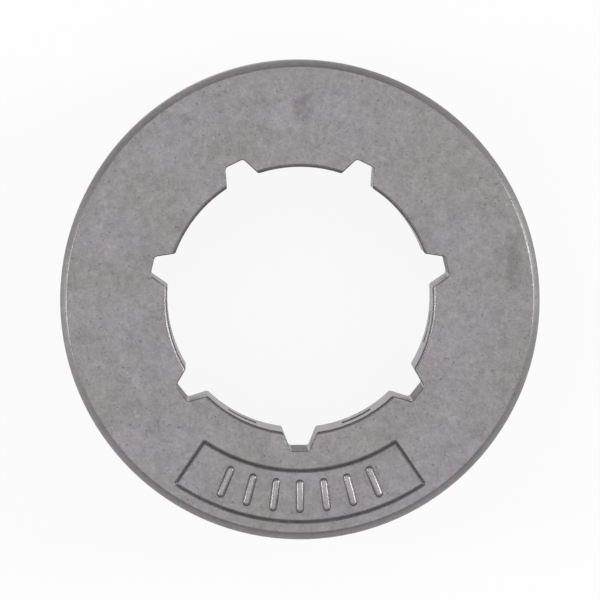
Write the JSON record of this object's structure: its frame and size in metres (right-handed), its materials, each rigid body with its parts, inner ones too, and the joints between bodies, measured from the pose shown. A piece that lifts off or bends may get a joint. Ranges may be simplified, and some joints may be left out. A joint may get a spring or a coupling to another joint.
{
  "type": "chainsaw rim sprocket",
  "caption": "One-piece steel drive ring for a saw chain: two rails, pockets for the drive links between them, and a splined bore that floats on a clutch drum's hub.",
  "frame": {"origin": "on the axis of the bore, in the plane of the lower face, which the ring rests on", "axes": "+Z along the bore towards the marked face; -Y towards the marking panel, a spline groove and a tooth"},
  "size_m": [0.0368, 0.0368, 0.0127],
  "materials": {
    "steel": "matte blasted grey steel"
  },
  "bodies": {
    "root": {"rim_sprocket": "steel"}
  },
  "joints": []
}
